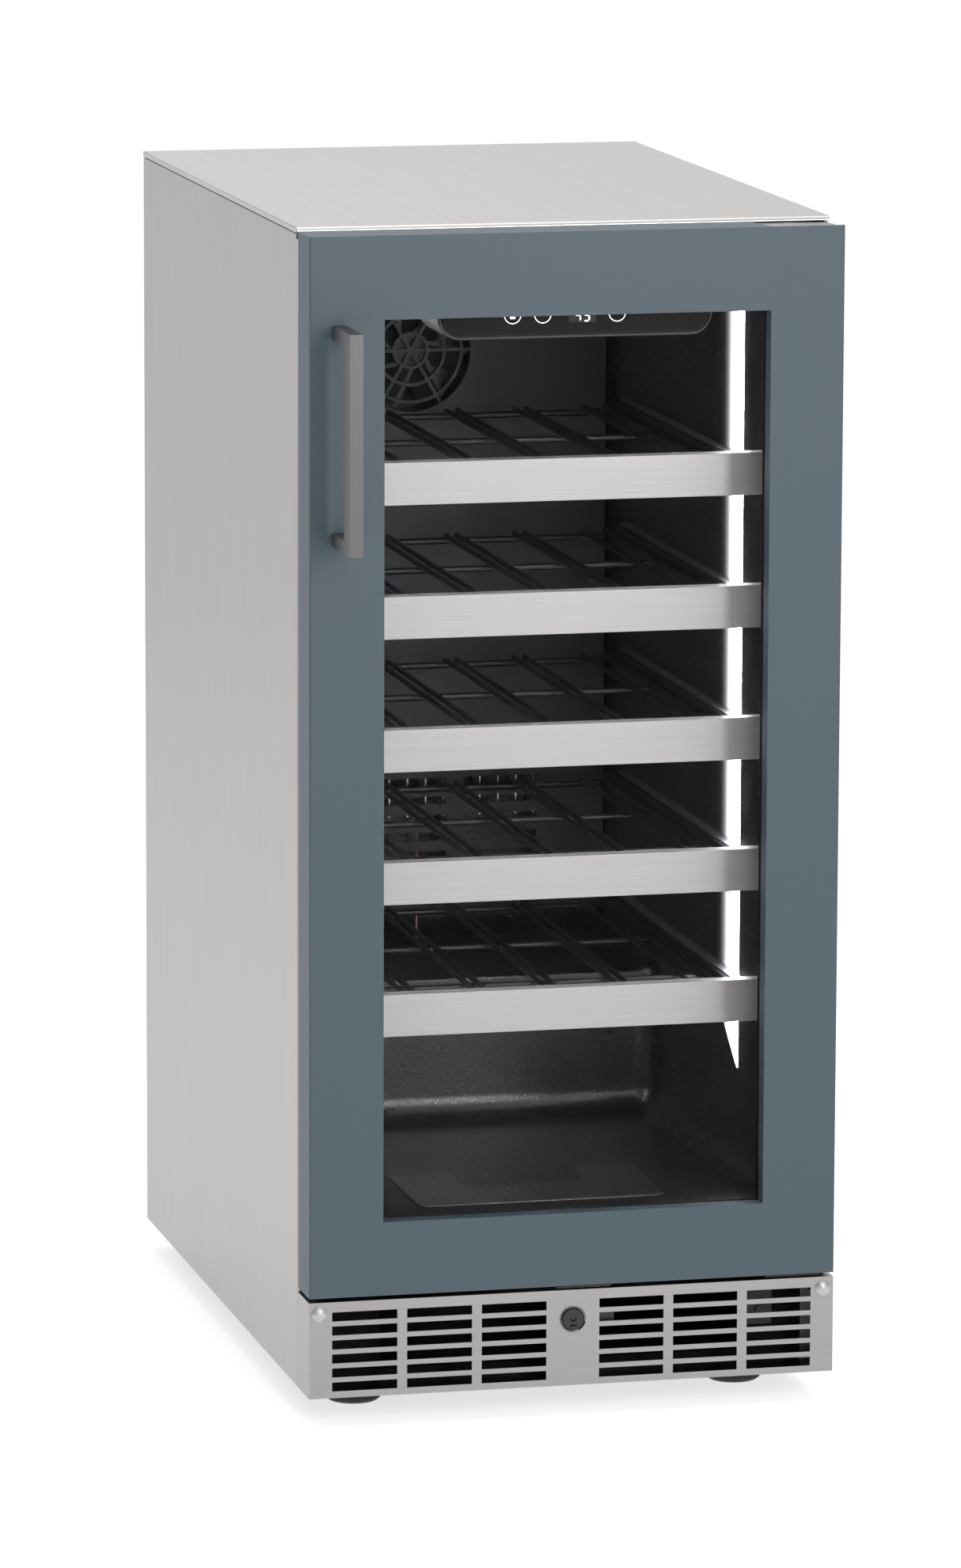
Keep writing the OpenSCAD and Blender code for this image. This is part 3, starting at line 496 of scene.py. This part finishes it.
def round_edges():
    """Small folds and radii, in millimetres, on the sheet-metal and moulded parts that show."""
    for name, width in {
        "door_panel": 0.7,
        "door_handle": 0.7,
        "top_panel": 0.5,
        "side_panel_left": 0.4,
        "side_panel_right": 0.4,
        "hinge_bracket_top": 0.4,
        "hinge_bracket_bottom": 0.4,
        "service_cover": 0.3,
        "back_panel": 0.4,
        "control_housing": 1.2,
        "evaporator_cover": 0.8,
        "power_inlet": 0.8,
    }.items():
        soften(name, width)
    for i in range(1, 6):
        soften(f"rack_{i}_fascia", 0.5)


# ---------------------------------------------------------------- pieces


def add_piece(piece, key, body):
    """Gives a new piece its material and the body it rides on."""
    coat(piece, key)
    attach(piece, body)


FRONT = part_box("top_panel")[0].y  # the cabinet's front plane
CAVITY_FLOOR = 134 * MM
CAVITY_TOP = 800 * MM
CAVITY_BACK = FRONT + 505 * MM
STEP_FRONT = FRONT + 335 * MM
STEP_TOP = 240 * MM
CAVITY_HALF = 157 * MM
COVE = 18 * MM  # radius of the cavity's inner corners
NOSE = 2.5 * MM  # radius of the step's upper edge and of the mouth's rim
LINER_SKIN = 2.2 * MM
COVE_STEPS = 7


def cavity_outline(inset):
    """The cavity's (y, z) outline from the side, drawn into the cavity by inset, with its corners rounded."""
    corners = [
        (FRONT, CAVITY_FLOOR + inset),
        (STEP_FRONT - inset, CAVITY_FLOOR + inset),
        (STEP_FRONT - inset, STEP_TOP + inset),
        (CAVITY_BACK - inset, STEP_TOP + inset),
        (CAVITY_BACK - inset, CAVITY_TOP - inset),
        (FRONT, CAVITY_TOP - inset),
    ]
    cove = COVE - inset
    return rounded_outline(corners, [0.0, cove, NOSE + inset, cove, cove, 0.0], COVE_STEPS)


def make_liner():
    """The moulded cavity with coved corners, the compressor step and a rolled front flange."""
    turns = [math.radians(90 * k / COVE_STEPS) for k in range(COVE_STEPS + 1)]
    half = [(CAVITY_HALF - COVE + COVE * math.sin(a), COVE - COVE * math.cos(a)) for a in turns]
    stations = [(-x, inset) for x, inset in reversed(half)] + half
    bm = bmesh.new()
    rings = [[bm.verts.new((x, y, z)) for y, z in cavity_outline(inset)] for x, inset in stations]
    for a, b in zip(rings, rings[1:]):
        for i in range(len(a) - 1):
            bm.faces.new((a[i], b[i], b[i + 1], a[i + 1]))
    bm.faces.new(rings[0])
    bm.faces.new(list(reversed(rings[-1])))
    bmesh.ops.remove_doubles(bm, verts=bm.verts, dist=WELD)

    def at_front(edge):
        return all(abs(v.co.y - FRONT) < WELD for v in edge.verts)

    low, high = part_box("inner_liner")
    mouth = [e for e in bm.edges if at_front(e) and e.is_boundary]
    grown = bmesh.ops.extrude_edge_only(bm, edges=mouth)["geom"]
    for v in (g for g in grown if isinstance(g, bmesh.types.BMVert)):
        if abs(v.co.x) > CAVITY_HALF - COVE - MM:
            v.co.x = math.copysign(high.x, v.co.x)
        if v.co.z > CAVITY_TOP - COVE - MM:
            v.co.z = high.z
        if v.co.z < CAVITY_FLOOR + COVE + MM:
            v.co.z = low.z
    bmesh.ops.remove_doubles(bm, verts=bm.verts, dist=WELD)
    bm.normal_update()

    def is_rim(edge):
        return len(edge.link_faces) == 2 and min(abs(f.normal.y) for f in edge.link_faces) < 0.5

    rim = [e for e in bm.edges if at_front(e) and is_rim(e)]
    bmesh.ops.bevel(bm, geom=rim, offset=NOSE, segments=3, profile=0.5, affect="EDGES")
    liner = mesh_object("liner_shell", bm)
    on_floor = Vector((0, FRONT + 100 * MM, CAVITY_FLOOR))
    floor_face = min(liner.data.polygons, key=lambda face: (face.center - on_floor).length)
    if floor_face.normal.z < 0:
        liner.data.flip_normals()
    smooth(liner, 30)
    skin = liner.modifiers.new("wall", "SOLIDIFY")
    skin.thickness = LINER_SKIN
    skin.offset = -1.0
    add_piece(liner, "liner", "cabinet")
    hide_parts("inner_liner")


def make_floor_emboss():
    """A shallow raised figure on the cavity floor, wide at the front with two arms to the back."""
    near, waist, far = FRONT + 50 * MM, FRONT + 104 * MM, FRONT + 150 * MM
    outer, inner = 90 * MM, 44 * MM
    sunk, height, corner = 0.5 * MM, 1.2 * MM, 7 * MM
    corners = [
        (-outer, near), (outer, near), (outer, far), (inner, far),
        (inner, waist), (-inner, waist), (-inner, far), (-outer, far),
    ]
    bm = bmesh.new()
    outline = rounded_outline(corners, corner, 5)
    prism_into(bm, outline, lambda u, v, depth: (u, v, depth), CAVITY_FLOOR - sunk, CAVITY_FLOOR + height)
    figure = mesh_object("liner_floor_figure", bm)
    bevel_edges(figure, 1.0, 3, 60)
    smooth(figure, 60)
    add_piece(figure, "liner", "cabinet")


def make_light_bars():
    """Frosted diffusers, slanted at their lower ends, let into the side walls and a little proud of them;
    their rear part, behind the diodes' own strip, is a painted glow of the light on the wall.
    """
    slant, proud, let_in = 48 * MM, 0.15 * MM, 1.5 * MM
    radii = [1.5 * MM, 9 * MM, 2 * MM, 2 * MM]
    for side, name in ((1, "right"), (-1, "left")):
        low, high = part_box(f"light_bar_{name}")
        corners = [(low.y, low.z), (high.y, low.z + slant), (high.y, high.z), (low.y, high.z)]

        def to_wall(u, v, depth, side=side):
            return (side * depth, u, v)

        bm = bmesh.new()
        outline = rounded_outline(corners, radii, 5)
        prism_into(bm, outline, to_wall, CAVITY_HALF - proud, CAVITY_HALF + let_in)
        bar = mesh_object(f"light_diffuser_{name}", bm)
        add_piece(bar, "led", "cabinet")
        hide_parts(f"light_bar_{name}")


def make_gasket():
    """Bellows gasket: a foot in the door frame, a folded neck and a magnetic bulb."""
    low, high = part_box("door_gasket")
    half_width, corner = 6 * MM, 7 * MM
    depth = high.y - low.y
    foot = [(6.0, 0.0), (6.0, 0.2)]  # half-width in millimetres and share of the depth
    neck = [(3.0, 0.3), (2.2, 0.42), (3.4, 0.52)]
    bulb = [(5.4, 0.6), (5.8, 0.9), (4.6, 1.0)]
    right_half = foot + neck + bulb
    profile = [(u * MM, low.y + share * depth) for u, share in right_half]
    profile += [(-u * MM, low.y + share * depth) for u, share in reversed(right_half)]
    half_x, low_z, high_z = high.x - half_width, low.z + half_width, high.z - half_width
    seal = rect_sweep("door_gasket_bellows", profile, half_x, low_z, high_z, corner)
    smooth(seal, 40)
    add_piece(seal, "seal", "door")
    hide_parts("door_gasket")


def make_lock_ring():
    """Knurled chrome collar round the key plug."""
    low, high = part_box("lock_barrel")
    centre = Vector(((low.x + high.x) / 2, 0, (low.z + high.z) / 2))
    radius = (high.x - low.x) / 2
    bore = 7.66 * MM
    face = low.y
    flange_back = face + 2.0 * MM
    barrel = radius - 0.8 * MM
    profile = [
        (bore, high.y),
        (bore, face + 1.0 * MM),
        (bore + 0.9 * MM, face + 0.1 * MM),
        (radius - 0.7 * MM, face),
        (radius - 0.1 * MM, face + 0.5 * MM),
        (radius, face + 0.9 * MM),
        (radius, flange_back),
        (barrel, flange_back),
        (barrel, high.y),
    ]
    rim = (4, 5, 6)
    bm = bmesh.new()
    lathe_into(bm, profile, centre, (0, 1, 0), 144, closed=True, teeth=24, depth=0.5 * MM, knurled=rim)
    collar = mesh_object("lock_collar", bm)
    smooth(collar, 35)
    add_piece(collar, "chrome", "cabinet")
    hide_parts("lock_barrel")


def make_lock_slot_painted_shade():
    """Painted shade over the pointer groove and the key slot on the plug's face; their sizes are in
    millimetres.
    """
    low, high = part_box("lock_barrel")
    middle_x, middle_z = (low.x + high.x) / 2, (low.z + high.z) / 2
    face = low.y + 0.4 * MM  # the plug's face lies that far behind the collar's

    def to_face(u, v, depth):
        return (middle_x + u * MM, face - depth, middle_z + v * MM)

    bm = bmesh.new()
    # Painted shade in the key slot and in the pointer's groove.
    for side in (-1, 1):
        stroke(bm, to_face, (0, -1.6), (2.3 * side, 0.5), 1.1)
    stroke(bm, to_face, (-2.6, -4.5), (2.6, -4.5), 1.3)
    add_piece(mesh_object("lock_slot_painted_shade", bm), "black_and_painted_shade", "lock_cylinder")


def make_foot(name):
    """Levelling foot: knurled pad, hexagon and threaded stud."""
    low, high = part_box(name)
    centre = Vector(((low.x + high.x) / 2, (low.y + high.y) / 2, 0))
    pad = (high.x - low.x) / 2
    up = (0, 0, 1)
    pad_top, nut_top = 10.9 * MM, 18.8 * MM
    rim = [
        (pad - 2.5 * MM, 0),
        (pad - 0.6 * MM, 1.6 * MM),
        (pad, 2.4 * MM),
        (pad, pad_top - 1.3 * MM),
        (pad - 0.9 * MM, pad_top),
        (pad - 5 * MM, pad_top),
    ]
    bm = bmesh.new()
    lathe_into(bm, rim, centre, up, 288, teeth=48, depth=0.9 * MM, knurled=(2, 3))
    nut, chamfered = 9.0 * MM, 8.4 * MM
    hexagon = [
        (chamfered, pad_top - 0.1 * MM),
        (nut, pad_top + 0.3 * MM),
        (nut, nut_top - 0.5 * MM),
        (chamfered, nut_top),
    ]
    lathe_into(bm, hexagon, centre, up, 6)
    stud, pitch = 4.95 * MM, 1.5 * MM
    thread_low = nut_top - 0.3 * MM
    thread = []
    for i in range(int((high.z - thread_low) / pitch)):
        z = thread_low + i * pitch
        thread += [(stud - 0.6 * MM, z), (stud, z + pitch / 2)]
    thread.append((stud - 0.8 * MM, high.z))
    lathe_into(bm, thread, centre, up, 32)
    foot = mesh_object(name + "_knurled", bm)
    smooth(foot, 30)
    add_piece(foot, "plastic", name)
    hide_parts(name)


def ring_icon(bm, to_face, u, v, radius, width):
    """A raised ring of a line width about a place."""
    steps = 40
    turn = [2 * math.pi * i / steps for i in range(steps)]
    outer = [(u + radius * math.cos(a), v + radius * math.sin(a)) for a in turn]
    inner = [(u + (radius - width) * math.cos(a), v + (radius - width) * math.sin(a)) for a in turn]
    ring_prism_into(bm, outer, inner, to_face, 0.0, INK)


def stroke(bm, to_face, start, end, width):
    """A flat bar with pointed ends between two places, as in a seven-segment digit."""
    a, b = Vector(start), Vector(end)
    along = (b - a).normalized()
    across = Vector((-along.y, along.x)) * width / 2
    tip = along * width / 2
    outline = [a, a + tip + across, b - tip + across, b, b - tip - across, a + tip - across]
    prism_into(bm, outline, to_face, 0.0, INK)


SEGMENTS = {  # ends of each bar of a digit: u in digit widths, v in half digit heights
    "top": ((0, 2), (1, 2)),
    "middle": ((0, 1), (1, 1)),
    "bottom": ((0, 0), (1, 0)),
    "upper_left": ((0, 1), (0, 2)),
    "upper_right": ((1, 1), (1, 2)),
    "lower_left": ((0, 0), (0, 1)),
    "lower_right": ((1, 0), (1, 1)),
}
DIGITS = {
    4: ("upper_left", "upper_right", "middle", "lower_right"),
    5: ("top", "upper_left", "middle", "lower_right", "bottom"),
}


def panel_face(low):
    """A function for places (u, v) on a box's front face, raised by depth; low is the box's low corner."""

    def to_face(u, v, depth):
        return (u, low.y - depth, v)

    return to_face


def make_key_outlines():
    """Ringed padlock, up and down keys on the touch panel."""
    low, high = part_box("control_glass")
    to_face = panel_face(low)
    middle = (low.x + high.x) / 2
    line, key_r, arm = 0.55 * MM, 6.1 * MM, 1.9 * MM
    key_z = low.z + 13.6 * MM
    lock_u, up_u, down_u = middle - 45 * MM, middle - 23.6 * MM, middle + 29.4 * MM
    bm = bmesh.new()
    for u in (lock_u, up_u, down_u):
        ring_icon(bm, to_face, u, key_z, key_r, line)
    for u, way in ((up_u, 1), (down_u, -1)):
        tip, foot_z = (u, key_z + way * arm / 2), key_z - way * arm / 2
        stroke(bm, to_face, (u - arm, foot_z), tip, line)
        stroke(bm, to_face, tip, (u + arm, foot_z), line)
    body_half = 1.9 * MM
    left, right = lock_u - body_half, lock_u + body_half
    low_z, high_z = key_z - 2.6 * MM, key_z + 0.3 * MM
    padlock = [(left, low_z), (right, low_z), (right, high_z), (left, high_z)]
    prism_into(bm, rounded_outline(padlock, 0.4 * MM, 3), to_face, 0.0, INK)
    ring_icon(bm, to_face, lock_u, high_z + 0.3 * MM, 1.4 * MM, 0.45 * MM)
    add_piece(mesh_object("touch_key_outlines", bm), "icon", "cabinet")


def make_temperature():
    """A two-digit temperature on its dark display window."""
    low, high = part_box("control_glass")
    to_face = panel_face(low)
    digit_w, half_h, bar_w = 3.7 * MM, 4.0 * MM, 1.1 * MM
    base = low.z + 8.6 * MM
    display_u = (low.x + high.x) / 2 + 4.4 * MM
    bm = bmesh.new()
    for k, digit in enumerate((4, 5)):
        digit_left = display_u + (k - 1) * 6.3 * MM + 1.3 * MM
        for bar in DIGITS[digit]:
            (u0, v0), (u1, v1) = SEGMENTS[bar]
            start = Vector((digit_left + u0 * digit_w, base + v0 * half_h))
            end = Vector((digit_left + u1 * digit_w, base + v1 * half_h))
            trim = (end - start).normalized() * 0.3 * MM
            stroke(bm, to_face, start + trim, end - trim, bar_w)
    add_piece(mesh_object("temperature_digits", bm), "icon", "cabinet")

    margin = 1.2 * MM
    left, right = display_u - 9.6 * MM, display_u + 9.6 * MM
    low_z, high_z = base - margin, base + 2 * half_h + margin
    window = [(left, low_z), (right, low_z), (right, high_z), (left, high_z)]
    bm = bmesh.new()
    prism_into(bm, rounded_outline(window, 0.5 * MM, 2), to_face, -0.5 * MM, 0.04 * MM)
    add_piece(mesh_object("display_window", bm), "display", "cabinet")


def make_panel_rim_painted_highlight():
    """Thin raised rim round the touch panel, with large lower corners; its lighter plastic is a painted
    highlight along the edge.
    """
    low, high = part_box("control_housing")
    inset, rim_w = 0.6 * MM, 1.6 * MM
    large, small = 15 * MM, 1.5 * MM

    def outline(margin, lower_radius):
        left, right = low.x + inset + margin, high.x - inset - margin
        bottom, top = low.z + inset + margin, high.z - 0.4 * MM - margin
        corners = [(left, bottom), (right, bottom), (right, top), (left, top)]
        return rounded_outline(corners, [lower_radius, lower_radius, small, small], 10)

    bm = bmesh.new()
    outer, inner = outline(0.0, large), outline(rim_w, large - rim_w)
    ring_prism_into(bm, outer, inner, panel_face(low), -0.5 * MM, 1.9 * MM)
    rim = mesh_object("touch_panel_rim_painted_highlight", bm)
    bevel_edges(rim, 0.6, 3, 50)
    smooth(rim, 60)
    add_piece(rim, "rim", "cabinet")


def make_floor():
    """A pale floor that runs out past the camera's view and glows, so that its edge doesn't show."""
    bm = bmesh.new()
    reach = 3.2
    corners = [(-reach, -reach, 0), (reach, -reach, 0), (reach, reach, 0), (-reach, reach, 0)]
    bm.faces.new([bm.verts.new(c) for c in corners])
    floor = mesh_object("studio_floor", bm)
    glow = {"Emission_Color": (1, 1, 1, 1), "Emission_Strength": 0.72}
    floor.data.materials.append(material("studio_floor", (0.5, 0.5, 0.5), roughness=0.8, **glow))


make_camera()
make_studio()
dress_nodes()
round_edges()
make_liner()
make_floor_emboss()
make_light_bars()
make_key_outlines()
make_temperature()
make_panel_rim_painted_highlight()
make_gasket()
make_lock_ring()
make_lock_slot_painted_shade()
for corner in ("front_left", "front_right", "rear_left", "rear_right"):
    make_foot(f"foot_{corner}")
make_floor()
